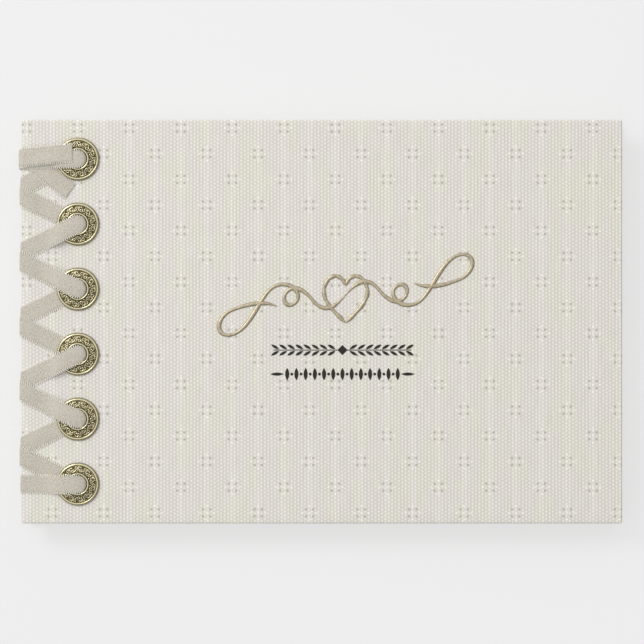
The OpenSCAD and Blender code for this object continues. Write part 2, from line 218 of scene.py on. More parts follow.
# ------------------------------------------------------------------ small tools for node trees
class Sheet:
    """A node tree being drawn, with short calls for the nodes that the finishes use."""

    def __init__(self, tree):
        self.tree = tree
        self.x = 0

    def node(self, kind, **settings):
        made = self.tree.nodes.new(kind)
        self.x += 60
        made.location = (self.x, -(self.x % 420))
        for key, value in settings.items():
            setattr(made, key, value)
        return made

    def feed(self, socket, value):
        if isinstance(value, bpy.types.NodeSocket):
            self.tree.links.new(value, socket)
        else:
            socket.default_value = value

    def math(self, operation, *values):
        made = self.node("ShaderNodeMath", operation=operation)
        for socket, value in zip(made.inputs, values):
            self.feed(socket, value)
        return made.outputs[0]

    def plus(self, a, b):
        return self.math("ADD", a, b)

    def minus(self, a, b):
        return self.math("SUBTRACT", a, b)

    def times(self, a, b):
        return self.math("MULTIPLY", a, b)

    def scaled(self, value, gain, shift):
        return self.math("MULTIPLY_ADD", value, gain, shift)

    def wave(self, value, period):
        return self.math("COSINE", self.times(value, 2 * math.pi / period))

    def folded(self, value, centre, reach):
        """How far value is from the nearest of the centres that repeat every 2 * reach."""
        return self.math("ABSOLUTE", self.math("WRAP", self.minus(value, centre), reach, -reach))

    def band(self, value, start, end, low=0.0, high=1.0):
        """Goes smoothly from low to high as value goes from start to end."""
        made = self.node("ShaderNodeMapRange", interpolation_type="SMOOTHSTEP")
        for socket, item in zip(made.inputs, (value, start, end, low, high)):
            self.feed(socket, item)
        return made.outputs[0]

    def length(self, a, b):
        return self.math("SQRT", self.plus(self.times(a, a), self.times(b, b)))

    def noise(self, vector, scale, detail=2.0, roughness=0.5):
        made = self.node("ShaderNodeTexNoise")
        self.feed(made.inputs["Vector"], vector)
        made.inputs["Scale"].default_value = scale
        made.inputs["Detail"].default_value = detail
        made.inputs["Roughness"].default_value = roughness
        return made.outputs[0]

    def stretch(self, vector, scale):
        made = self.node("ShaderNodeMapping")
        self.feed(made.inputs["Vector"], vector)
        made.inputs["Scale"].default_value = scale
        return made.outputs[0]

    def blend(self, factor, a, b, mode="MIX"):
        made = self.node("ShaderNodeMix", data_type="RGBA", blend_type=mode)
        self.feed(made.inputs[0], factor)
        self.feed(made.inputs[6], a)
        self.feed(made.inputs[7], b)
        return made.outputs[2]

    def bump(self, height, distance, strength):
        made = self.node("ShaderNodeBump")
        made.inputs["Strength"].default_value = strength
        made.inputs["Distance"].default_value = distance
        self.feed(made.inputs["Height"], height)
        return made.outputs[0]

    def cut_pattern(self):
        """The sheet's own flat coordinates in millimetres: both together, then each."""
        uv = self.node("ShaderNodeUVMap", uv_map="cut").outputs[0]
        split = self.node("ShaderNodeSeparateXYZ")
        self.feed(split.inputs[0], uv)
        return uv, split.outputs[0], split.outputs[1]

    def object_point(self):
        """The point on the piece in millimetres."""
        return self.stretch(self.node("ShaderNodeTexCoord").outputs["Object"], (1 / MM, 1 / MM, 1 / MM))

    def attribute(self, name):
        return self.node("ShaderNodeAttribute", attribute_name=name).outputs["Fac"]

    def finish(self, shader, color, relief, depth, strength, roughness=None):
        """Gives a shader its colour, its relief in millimetres and, where it varies, its roughness."""
        self.feed(shader.inputs["Base Color"], color)
        self.feed(shader.inputs["Normal"], self.bump(relief, depth * MM, strength))
        if roughness is not None:
            self.feed(shader.inputs["Roughness"], roughness)


def finish_sheet(name, **shader):
    """A material with its shader's constants set; returns the material, its sheet and its shader."""
    material = bpy.data.materials.new(name)
    material.use_nodes = True
    sheet = Sheet(material.node_tree)
    principled = material.node_tree.nodes["Principled BSDF"]
    for key, value in shader.items():
        principled.inputs[key].default_value = value
    return material, sheet, principled


def tone(r, g, b):
    """A colour given as it looks, 0 to 255, in the linear values that a shader takes."""
    values = [c / 255 for c in (r, g, b)]
    return tuple(c / 12.92 if c <= 0.04045 else ((c + 0.055) / 1.055) ** 2.4 for c in values) + (1,)


# ------------------------------------------------------------------ finishes
# Book cloth: raised beads in staggered columns, and a half-drop figure of four dark and five light dots
COLUMN = 1.31
BEAD = 1.50
FIGURE = (20.14, 20.06)
FIGURE_AT = (65.75, 55.6)
DARK_DOT = (1.43, 1.37)
LIGHT_DOT = (2.8, 2.66)
CLOTH_DARK = (187, 184, 176)
CLOTH_LIGHT = (247, 244, 239)
CLOTH_FIGURE = (176, 169, 155)
CLOTH_COOL = (255, 253, 254)
CLOTH_WARM = (254, 254, 248)


def cloth_figure(sheet, u, v):
    """The woven figure: how much of a dark dot and of a light dot there is at a point."""
    half_u, half_v = FIGURE[0] / 2, FIGURE[1] / 2
    # Distances from the nearest figure, folded into one quarter of it
    a = sheet.folded(u, FIGURE_AT[0], half_u)
    b = sheet.folded(v, FIGURE_AT[1], half_v)
    dropped = sheet.math("GREATER_THAN", sheet.plus(a, b), (half_u + half_v) / 2)
    a = sheet.math("ABSOLUTE", sheet.minus(sheet.times(dropped, half_u), a))
    b = sheet.math("ABSOLUTE", sheet.minus(sheet.times(dropped, half_v), b))
    from_dark = sheet.length(sheet.minus(a, DARK_DOT[0]), sheet.minus(b, DARK_DOT[1]))
    from_middle = sheet.length(a, b)
    from_side = sheet.length(sheet.minus(a, LIGHT_DOT[0]), b)
    from_end = sheet.length(a, sheet.minus(b, LIGHT_DOT[1]))
    from_light = sheet.math("MINIMUM", from_middle, sheet.math("MINIMUM", from_side, from_end))
    return sheet.band(from_dark, 0.22, 0.66, 1.0, 0.0), sheet.band(from_light, 0.2, 0.62, 1.0, 0.0)


def book_cloth():
    material, sheet, shader = finish_sheet("book_cloth", **{
        "Roughness": 0.82, "Sheen Weight": 0.12, "Sheen Roughness": 0.5, "Specular IOR Level": 0.25})
    uv, u, v = sheet.cut_pattern()
    beads = sheet.scaled(sheet.times(sheet.wave(u, 2 * COLUMN), sheet.wave(v, BEAD)), 0.27, 0.5)
    beads = sheet.plus(beads, sheet.times(sheet.wave(u, COLUMN), 0.2))
    beads = sheet.plus(beads, sheet.times(sheet.wave(v, BEAD / 2), 0.06))
    dark, light = cloth_figure(sheet, u, v)
    height = sheet.plus(beads, sheet.times(light, 0.5))
    height = sheet.minus(height, sheet.times(dark, 1.1))
    stripe = sheet.band(sheet.folded(u, FIGURE_AT[0], FIGURE[0] / 4), 0.9, 1.5, 1.0, 0.0)
    slub = sheet.noise(sheet.stretch(uv, (1.6, 0.12, 1.0)), 1.0, 3.0)
    grain = sheet.noise(sheet.stretch(uv, (3.0, 3.0, 1.0)), 1.0, 2.0)
    shade = sheet.plus(sheet.times(height, 0.62), sheet.times(stripe, 0.05))
    shade = sheet.plus(shade, sheet.scaled(slub, 0.30, -0.15))
    shade = sheet.plus(shade, sheet.scaled(grain, 0.5, -0.19))
    ramp = sheet.node("ShaderNodeValToRGB")
    sheet.feed(ramp.inputs[0], shade)
    ramp.color_ramp.elements[0].color = tone(*CLOTH_DARK)
    ramp.color_ramp.elements[1].color = tone(*CLOTH_LIGHT)
    ramp.color_ramp.elements[0].position = 0.0
    ramp.color_ramp.elements[1].position = 0.95
    warm = sheet.band(sheet.noise(sheet.stretch(uv, (0.09, 0.03, 1.0)), 1.0, 3.0, 0.6), 0.42, 0.64)
    tint = sheet.blend(warm, tone(*CLOTH_COOL), tone(*CLOTH_WARM))
    color = sheet.blend(1.0, ramp.outputs[0], tint, "MULTIPLY")
    color = sheet.blend(sheet.times(dark, 0.5), color, tone(*CLOTH_FIGURE))
    sheet.finish(shader, color, sheet.plus(height, sheet.times(grain, 0.35)), 0.07, 0.8)
    return material


def paper(name, color, fibre):
    """Paper or card: fine fibres and faint broad clouds; fibre is how much darker they are."""
    material, sheet, shader = finish_sheet(name, **{"Roughness": 0.75, "Specular IOR Level": 0.3})
    point = sheet.object_point()
    fine = sheet.noise(sheet.stretch(point, (2.2, 5.0, 2.2)), 1.0, 4.0, 0.6)
    broad = sheet.noise(point, 0.05, 2.0)
    spread = sheet.plus(sheet.times(fine, 0.7), sheet.times(broad, 0.3))
    darker = tuple(c * (1 - 3 * fibre) for c in tone(*color)[:3]) + (1,)
    sheet.finish(shader, sheet.blend(sheet.band(spread, 0.3, 0.7), darker, tone(*color)), fine, 0.02, 0.5)
    return material


def grey_board():
    material, sheet, shader = finish_sheet("grey_board", **{"Roughness": 0.95, "Specular IOR Level": 0.1})
    point = sheet.object_point()
    flecks = sheet.noise(sheet.stretch(point, (1.5, 1.5, 6.0)), 1.0, 5.0, 0.7)
    color = sheet.blend(sheet.band(flecks, 0.35, 0.68), tone(128, 121, 110), tone(172, 165, 152))
    sheet.finish(shader, color, flecks, 0.08, 0.8)
    return material


BRASS_BRIGHT = (0.63, 0.57, 0.365, 1)
BRASS_DARK = (0.095, 0.08, 0.042, 1)


def antique_brass():
    """Brass that is dark in its hollows and rubbed bright on its high spots; patina is 1 in a hollow."""
    material, sheet, shader = finish_sheet("antique_brass", **{"Metallic": 1.0})
    point = sheet.object_point()
    mottle = sheet.noise(point, 1.4, 4.0, 0.65)
    scratch = sheet.noise(sheet.stretch(point, (9.0, 2.2, 4.0)), 1.0, 2.0)
    dirt = sheet.band(sheet.plus(sheet.attribute("patina"), sheet.scaled(mottle, 0.5, -0.25)), 0.05, 0.95)
    dull = sheet.plus(sheet.scaled(dirt, 0.3, 0.2), sheet.times(scratch, 0.08))
    relief = sheet.plus(mottle, sheet.times(scratch, 0.4))
    sheet.finish(shader, sheet.blend(dirt, BRASS_BRIGHT, BRASS_DARK), relief, 0.03, 0.5, roughness=dull)
    return material


# Ribbon, in millimetres: the pitch of its picots, of its twill lines and of its weft
PICOT = 0.85
TWILL = 0.42
WEFT = 0.21
RIBBON_LIGHT = (184, 179, 165)
RIBBON_SHADE = (164, 158, 144)
RIBBON_GRAIN = (203, 198, 186)
# The colour of the twill lines, and of the painted shadow in the gaps between picots
RIBBON_TWILL_AND_SHADOW = (140, 133, 112)


def satin_ribbon():
    """Ribbon: fine diagonal twill on a satin face, with painted shadow marks in the gaps between the picots
    at each edge.
    """
    material, sheet, shader = finish_sheet("satin_ribbon", **{
        "Roughness": 0.55, "Sheen Weight": 0.25, "Sheen Roughness": 0.4, "Specular IOR Level": 0.35,
        "Anisotropic": 0.4})
    uv, u, v = sheet.cut_pattern()
    slanting = sheet.plus(u, sheet.times(v, 0.8))
    twill = sheet.math("SINE", sheet.times(slanting, 2 * math.pi / TWILL))
    weft = sheet.math("SINE", sheet.times(u, 2 * math.pi / WEFT))
    broad = sheet.noise(sheet.stretch(uv, (0.1, 0.3, 1.0)), 1.0, 1.0)
    threads = sheet.noise(sheet.stretch(uv, (1.7, 1.7, 1.0)), 1.0, 2.0)
    # Painted shadow: dark marks at the picots' pitch along each edge stand for the shade in the gaps between
    # picots; the same mask also sinks the relief there
    edge = sheet.band(sheet.math("ABSOLUTE", v), 2.55, 2.95)
    shadowed_picot_gaps = sheet.times(edge, sheet.math("GREATER_THAN", sheet.wave(u, PICOT), -0.1))
    body = sheet.blend(sheet.band(broad, 0.0, 1.0), tone(*RIBBON_SHADE), tone(*RIBBON_LIGHT))
    body = sheet.blend(sheet.band(threads, 0.3, 0.7), body, tone(*RIBBON_GRAIN))
    body = sheet.blend(sheet.scaled(twill, 0.08, 0.08), body, tone(*RIBBON_TWILL_AND_SHADOW))
    # Painted shadow in the gaps between the picots
    body = sheet.blend(sheet.times(shadowed_picot_gaps, 0.3), body, tone(*RIBBON_TWILL_AND_SHADOW))
    relief = sheet.plus(sheet.times(twill, 0.5), sheet.times(weft, 0.3))
    sheet.finish(shader, body, sheet.minus(relief, sheet.times(shadowed_picot_gaps, 1.5)), 0.02, 0.6)
    return material


GOLD_DULL = (0.335, 0.285, 0.185, 1)
GOLD_BRIGHT = (0.52, 0.455, 0.325, 1)
# The colour of the painted shade at the foot of the gold's raised lines
GOLD_FOOT_SHADE = (0.145, 0.12, 0.085, 1)


def picot_thread():
    material, sheet, shader = finish_sheet("picot_thread", **{
        "Roughness": 0.7, "Sheen Weight": 0.3, "Specular IOR Level": 0.3})
    ply = sheet.noise(sheet.object_point(), 4.0, 2.0)
    sheet.finish(shader, sheet.blend(ply, tone(222, 217, 204), tone(244, 241, 232)), ply, 0.03, 0.6)
    return material


def gold_relief():
    """Champagne gold: brushed unevenly, as foil over a raised line; edge is 1 at the foot of the line, where
    the foil is darkened with painted shade.
    """
    material, sheet, shader = finish_sheet("gold_relief", **{"Metallic": 0.75, "Specular IOR Level": 0.5})
    uneven = sheet.noise(sheet.object_point(), 0.9, 4.0, 0.6)
    face = sheet.blend(sheet.band(uneven, 0.25, 0.75), GOLD_DULL, GOLD_BRIGHT)
    # Painted shade darkens the foot of each raised line
    color = sheet.blend(sheet.attribute("edge"), face, GOLD_FOOT_SHADE)
    sheet.finish(shader, color, uneven, 0.03, 0.4, roughness=sheet.scaled(uneven, 0.25, 0.25))
    return material


def black_ink():
    material, sheet, shader = finish_sheet("black_ink", **{"Specular IOR Level": 0.3})
    spread = sheet.noise(sheet.object_point(), 2.5, 3.0)
    color = sheet.blend(spread, tone(24, 22, 18), tone(44, 40, 33))
    sheet.finish(shader, color, spread, 0.02, 0.5, roughness=sheet.scaled(spread, 0.2, 0.5))
    return material


CLOTH = book_cloth()
BOARD = grey_board()
LINING = paper("lining_paper", (238, 234, 222), 0.035)
CARD = paper("leaf_card", (240, 238, 229), 0.02)
BRASS = antique_brass()
RIBBON = satin_ribbon()
PICOT_THREAD = picot_thread()
GOLD = gold_relief()
INK = black_ink()


# ------------------------------------------------------------------ sheets with punched holes
PUNCH_SIDES = 48


def punches(radius, low, high):
    """Six cylinders on the eyelets' axes, to cut holes with."""
    points, faces = [], []
    for y in EYELET_Y:
        foot = len(points)
        top = foot + PUNCH_SIDES
        for z in (low, high):
            for i in range(PUNCH_SIDES):
                turn = 2 * math.pi * i / PUNCH_SIDES
                points.append((EYELET_X + radius * math.cos(turn), y + radius * math.sin(turn), z))
        for i in range(PUNCH_SIDES):
            j = (i + 1) % PUNCH_SIDES
            faces.append((foot + i, foot + j, top + j, top + i))
        faces.append(tuple(reversed(range(foot, top))))
        faces.append(tuple(range(top, top + PUNCH_SIDES)))
    return mesh_object("punches", points, faces, smooth=False)


def flat_sheet(name, columns, low_y, high_y, low_z, thickness, hole_r, shift=(0, 0)):
    """A closed thin sheet that can fold at the given columns, with the eyelets' holes punched in it."""
    high_z = low_z + thickness
    section = ((low_y, low_z), (high_y, low_z), (high_y, high_z), (low_y, high_z))
    points = [(x + shift[0], y + shift[1], z) for x in columns for y, z in section]
    faces = ring_faces(len(columns), 4) + end_faces(len(points), 4)
    sheet = face_outwards(mesh_object(name, points, faces, smooth=False))
    cut(sheet, punches(hole_r, low_z - MM, low_z + thickness + MM))
    return sheet


def spaced(start, end, count):
    return [start + (end - start) * i / count for i in range(count + 1)]


# ------------------------------------------------------------------ covers
EDGE_R = 0.7 * MM
INNER_EDGE_R = 0.5 * MM
CORNER_R = 0.8 * MM
LEAST_CORNER_R = 0.6 * MM
ARC_STEPS = 6
JOINT_BEND = 2.4 * MM


def cover_profile(depth):
    """The cloth's way from the outer face round an edge to the end of its turn-in: (inset, depth, way)."""
    arc = [i * math.pi / 2 / ARC_STEPS for i in range(ARC_STEPS + 1)]
    steps = [(TURN_IN, 0.0), (TURN_IN / 3, 0.0)]
    steps += [(EDGE_R * (1 - math.sin(t)), EDGE_R * (1 - math.cos(t))) for t in arc]
    steps += [(INNER_EDGE_R * (1 - math.cos(t)), depth - INNER_EDGE_R * (1 - math.sin(t))) for t in arc]
    steps += [(TURN_IN / 3, depth), (TURN_IN, depth)]
    profile, way = [], 0.0
    for i, (inset, down) in enumerate(steps):
        if i > 2:
            way += math.dist(steps[i - 1], (inset, down))
        profile.append((inset, down, way))
    return profile


def outline(inset, columns, rows):
    """A rounded rectangle inset from the cover's edge: points and the outward direction at each."""
    radius = max(CORNER_R - inset, LEAST_CORNER_R)
    x0, x1 = SPINE_X + inset + radius, FORE_X - inset - radius
    y0, y1 = TAIL_Y + inset + radius, HEAD_Y - inset - radius
    # The sides in turn, head, fore-edge, tail and spine, each followed by its corner
    sides = [
        ([(x, y1) for x in [x0] + columns + [x1]], (0, 1)),
        ([(x1, y) for y in [y1] + rows[::-1] + [y0]], (1, 0)),
        ([(x, y0) for x in [x1] + columns[::-1] + [x0]], (0, -1)),
        ([(x0, y) for y in [y0] + rows + [y1]], (-1, 0))]
    steps = []
    for spots, (dx, dy) in sides:
        steps += [(x + radius * dx, y + radius * dy, dx, dy) for x, y in spots]
        x, y = spots[-1]
        for i in range(1, ARC_STEPS):
            t = i * math.pi / 2 / ARC_STEPS
            out_x = dx * math.cos(t) + dy * math.sin(t)
            out_y = dy * math.cos(t) - dx * math.sin(t)
            steps.append((x + radius * out_x, y + radius * out_y, out_x, out_y))
    return steps


def cover_cloth(side):
    """One piece of cloth over both boards of a cover: outer face, rolled edges and turn-ins."""
    outer_z, down = (FRONT_Z, -1) if side == "front" else (BACK_Z, 1)
    depth = COVER_T - LINING_T
    # Columns of points: a few round the eyelets, many in the joint where it folds, few on the panel
    columns = [SPINE_X + 16 * MM, SPINE_X + 26 * MM]
    columns += spaced(HINGE_X - JOINT_BEND, HINGE_X + JOINT_BEND, 16)
    columns += spaced(HINGE_X + 12 * MM, FORE_X - 16 * MM, 8)
    rows = spaced(TAIL_Y + 16 * MM, HEAD_Y - 16 * MM, 6)
    points, uvs = [], []
    profile = cover_profile(depth)
    for inset, sunk, way in profile:
        for x, y, dx, dy in outline(inset, columns, rows):
            points.append((x, y, outer_z + down * sunk))
            beyond = inset - EDGE_R + way if way else 0
            uvs.append(((x + dx * beyond - COVER_X) / MM, (y + dy * beyond) / MM))
    count = len(points) // len(profile)
    faces = ring_faces(len(profile), count)
    # The middle of the outer face: one strip from head to tail for each pair of columns
    top = len(columns) + 2
    tail = top + len(rows) + 2 + 2 * (ARC_STEPS - 1)
    for j in range(top - 1):
        faces.append((j, tail + top - 1 - j, tail + top - 2 - j, j + 1))
    faces.append(tuple(range(top - 1, tail + 1)))
    faces.append(tuple(range(tail + top - 1, count)) + (0,))
    cloth = mesh_object(f"{side}_cover_cloth", points, faces)
    set_corner_uv(cloth, uvs)
    face_outwards(cloth)
    thick = cloth.modifiers.new("cloth", "SOLIDIFY")
    thick.thickness = CLOTH_T
    thick.offset = -1
    settle(cloth)
    cut(cloth, punches(CLOTH_HOLE_R, outer_z - 2 * MM, outer_z + 2 * MM))
    crease(cloth, 50)
    paint(cloth, CLOTH)
    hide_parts(f"{side}_strip_cloth", f"{side}_panel_cloth")
    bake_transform(cloth)


def endpaper(side):
    """The lining inside a cover, one sheet from the binding strip across the joint to the fore-edge."""
    box_lo, box_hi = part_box(f"{side}_strip_lining")
    columns = [box_lo.x, HINGE_X - 4 * MM] + spaced(HINGE_X - 2.2 * MM, HINGE_X + 2.2 * MM, 14)
    columns += spaced(HINGE_X + 5 * MM, hi(f"{side}_panel_lining").x, 6)
    sheet = flat_sheet(f"{side}_endpaper", columns, box_lo.y, box_hi.y, box_lo.z, box_hi.z - box_lo.z,
                       LINING_HOLE_R)
    paint(crease(sheet), LINING)
    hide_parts(f"{side}_strip_lining", f"{side}_panel_lining")
    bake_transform(sheet)


for side in SIDES:
    cover_cloth(side)
    endpaper(side)


# ------------------------------------------------------------------ leaves
LEAF_BEND = 26 * MM


def leaf_columns():
    """Where a turning leaf may bend: every millimetre past its fold, and coarsely elsewhere."""
    margin = [lo("turning_leaf_stubs").x, FOLD_X - 6 * MM, FOLD_X - 2 * MM]
    bend = spaced(FOLD_X, FOLD_X + LEAF_BEND + 2 * MM, 28)
    return margin + bend + spaced(FOLD_X + 40 * MM, hi("front_flyleaf").x, 5)


def turning_leaf(name):
    """A leaf in one piece: its punched margin lies in the binding, and close columns run past its fold."""
    box_lo, box_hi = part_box(name)
    leaf = flat_sheet(f"{name}_sheet", leaf_columns(), box_lo.y, box_hi.y, box_lo.z, LEAF_T, LEAF_HOLE_R)
    paint(crease(leaf), CARD)
    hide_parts(name)
    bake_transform(leaf)
    return leaf


for side in SIDES:
    for name in TURNING[side]:
        made = turning_leaf(name)
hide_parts("turning_leaf_stubs")


def leaf_block():
    """The still leaves, each set by hand a hair out of line with the next."""
    box_lo, box_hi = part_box("leaf_block")
    count = round((box_hi.z - box_lo.z - LEAF_T) / LEAF_PITCH) + 1
    chance = np.random.default_rng(7)
    out_of_line = 0.12
    meshes = bmesh.new()
    columns = [box_lo.x, EYELET_X + 12 * MM, box_hi.x]
    for i in range(count):
        off = chance.uniform(-out_of_line, out_of_line, 2) * MM
        leaf = flat_sheet("leaf", columns, box_lo.y, box_hi.y, box_lo.z + i * LEAF_PITCH, LEAF_T,
                          LEAF_HOLE_R, shift=(min(off[0], 0), off[1]))
        meshes.from_mesh(leaf.data)
        discard(leaf)
    block = mesh_object("leaf_block_sheets", [], [])
    meshes.to_mesh(block.data)
    meshes.free()
    paint(block, CARD)
    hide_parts("leaf_block")
    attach(block, "binding")


leaf_block()


# ------------------------------------------------------------------ eyelets
def turned(name, profile, centre_z, up=1):
    """A ring turned from a closed outline of (radius, height, patina), round an eyelet's axis at y = 0."""
    points, patina, steps = [], [], 120
    for i in range(steps):
        turn = 2 * math.pi * i / steps
        for radius, height, hollow in profile:
            x, y = radius * MM * math.cos(turn), radius * MM * math.sin(turn)
            points.append((EYELET_X + x, y, centre_z + up * height * MM))
            patina.append(hollow)
    ring = mesh_object(name, points, ring_faces(steps, len(profile), closed=True))
    set_float_attribute(ring, "patina", patina)
    return face_outwards(ring)


# Half-outlines in millimetres: radius, height above the cloth, and how dark the hollow is
CLINCH_Z = -2.35
BARREL = [
    (3.9, CLINCH_Z + 0.5, 0.8), (4.55, CLINCH_Z + 0.35, 0.5), (4.65, CLINCH_Z + 0.15, 0.3),
    (4.4, CLINCH_Z, 0.3), (3.75, CLINCH_Z + 0.05, 0.3), (3.56, CLINCH_Z + 0.3, 0.5)]
FRONT_EYELET = [
    (3.6, 0.6, 0.9), (3.58, 1.0, 0.6), (3.66, 1.32, 0.2), (3.82, 1.5, 0.1), (4.02, 1.55, 0.15),
    (4.22, 1.5, 0.3), (4.36, 1.38, 0.7), (4.46, 1.26, 0.95), (4.6, 1.2, 1.0), (5.8, 0.96, 1.0),
    (7.0, 0.72, 1.0), (7.16, 0.72, 1.0), (7.28, 0.85, 0.8), (7.4, 1.02, 0.25), (7.54, 1.11, 0.05),
    (7.72, 1.1, 0.1), (7.92, 1.02, 0.25), (8.1, 0.88, 0.4), (8.25, 0.68, 0.5), (8.35, 0.48, 0.65),
    (8.4, 0.3, 0.8), (8.34, 0.12, 0.9), (8.2, 0.02, 0.9), (7.75, 0.02, 0.8), (7.7, 0.5, 0.8),
    (3.95, 0.5, 0.8)] + BARREL
BACK_EYELET = [
    (3.6, 0.0, 0.5), (3.66, 0.25, 0.2), (3.85, 0.44, 0.0), (4.2, 0.5, 0.0), (5.4, 0.5, 0.15),
    (5.75, 0.42, 0.0), (5.94, 0.25, 0.0), (6.0, 0.08, 0.4), (5.9, 0.0, 0.6), (3.95, 0.0, 0.8)] + BARREL
BAND_R = 5.78 * MM
BAND_H = 0.97 * MM
BAND_SLOPE = 0.2
SLOT_W = 7.1 * MM
SLOT_H = 0.5 * MM
SLOT_START = 0.2 * MM
HAIR = 0.001 * MM


def ribbon_passage(k):
    """The way for one strand under the flange of eyelet k, on the spine side."""
    lean = math.atan(LACE_SLOPE) * (1 if k % 2 == 1 else -1)
    turn = math.pi + lean
    along = Vector((math.cos(turn), math.sin(turn), 0))
    across = Vector((-along.y, along.x, 0)) * SLOT_W / 2
    centre = Vector((EYELET_X, EYELET_Y[k - 1], FRONT_Z))
    points, end = [], FLANGE_R + MM
    for z in (-HAIR, SLOT_H):
        for reach, side in ((SLOT_START, -1), (end, -1), (end, 1), (SLOT_START, 1)):
            points.append(centre + along * reach + across * side + Vector((0, 0, z)))
    faces = [(3, 2, 1, 0), (4, 5, 6, 7), (0, 1, 5, 4), (1, 2, 6, 5), (2, 3, 7, 6), (3, 0, 4, 7)]
    return mesh_object("passage", points, faces, smooth=False)


def moved_copy(obj, name, offset):
    """A copy with its place in its points."""
    copy = bpy.data.objects.new(name, obj.data.copy())
    copy.data.name = name
    for vertex in copy.data.vertices:
        vertex.co += Vector(offset)
    bpy.context.scene.collection.objects.link(copy)
    return copy


def eyelets():
    front = turned("front_pattern", FRONT_EYELET, FRONT_Z)
    back = turned("back_pattern", BACK_EYELET, BACK_Z, up=-1)
    for k, y in enumerate(EYELET_Y, start=1):
        ring = moved_copy(front, f"front_eyelet_{k}_turned", (0, y, 0))
        cut(ring, ribbon_passage(k))
        plain = moved_copy(back, f"back_eyelet_{k}_turned", (0, y, 0))
        for piece, node in ((ring, f"front_eyelet_{k}"), (plain, f"back_eyelet_{k}")):
            paint(crease(piece, 50), BRASS)
            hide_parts(node)
            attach(piece, "binding")
    discard(front)
    discard(back)


eyelets()


# ------------------------------------------------------------------ ornament grown on the eyelets
class Growth:
    """A geometry node tree with named inputs, run on an object and settled into its mesh."""

    def __init__(self, name, sizes):
        self.tree = bpy.data.node_groups.new(name, "GeometryNodeTree")
        face = self.tree.interface
        face.new_socket("Geometry", in_out="OUTPUT", socket_type="NodeSocketGeometry")
        face.new_socket("Geometry", in_out="INPUT", socket_type="NodeSocketGeometry")
        self.sizes = sizes
        for label, value in sizes.items():
            kind = "NodeSocketInt" if isinstance(value, int) else "NodeSocketFloat"
            if isinstance(value, bpy.types.Material):
                kind = "NodeSocketMaterial"
            face.new_socket(label, in_out="INPUT", socket_type=kind)
        self.source = self.tree.nodes.new("NodeGroupInput")
        self.sink = self.tree.nodes.new("NodeGroupOutput")

    def take(self, label):
        return self.source.outputs[label]

    def node(self, kind, inputs=None, **settings):
        made = self.tree.nodes.new(kind)
        for key, value in settings.items():
            setattr(made, key, value)
        for key, value in (inputs or {}).items():
            socket = made.inputs[key]
            if isinstance(value, bpy.types.NodeSocket):
                self.tree.links.new(value, socket)
            else:
                socket.default_value = value
        return made

    def shape(self, kind, inputs, **settings):
        """The first output of a Geometry Nodes node."""
        return self.node(f"GeometryNode{kind}", inputs, **settings).outputs[0]

    def math(self, operation, a, b):
        return self.node("ShaderNodeMath", {0: a, 1: b}, operation=operation).outputs[0]

    def vector(self, **inputs):
        return self.node("ShaderNodeCombineXYZ", inputs).outputs[0]

    def join(self, *parts):
        made = self.node("GeometryNodeJoinGeometry")
        for part in parts:
            self.tree.links.new(part, made.inputs[0])
        return made.outputs[0]

    def end(self, geometry, material):
        real = self.shape("RealizeInstances", {"Geometry": geometry})
        smooth = self.shape("SetShadeSmooth", {"Geometry": real})
        coated = self.shape("SetMaterial", {"Geometry": smooth, "Material": material})
        self.tree.links.new(coated, self.sink.inputs[0])

    def grow(self, obj):
        step = obj.modifiers.new(self.tree.name, "NODES")
        step.node_group = self.tree
        for item in self.tree.interface.items_tree:
            if item.in_out == "INPUT" and item.name in self.sizes:
                step[item.identifier] = self.sizes[item.name]
        return settle(obj)


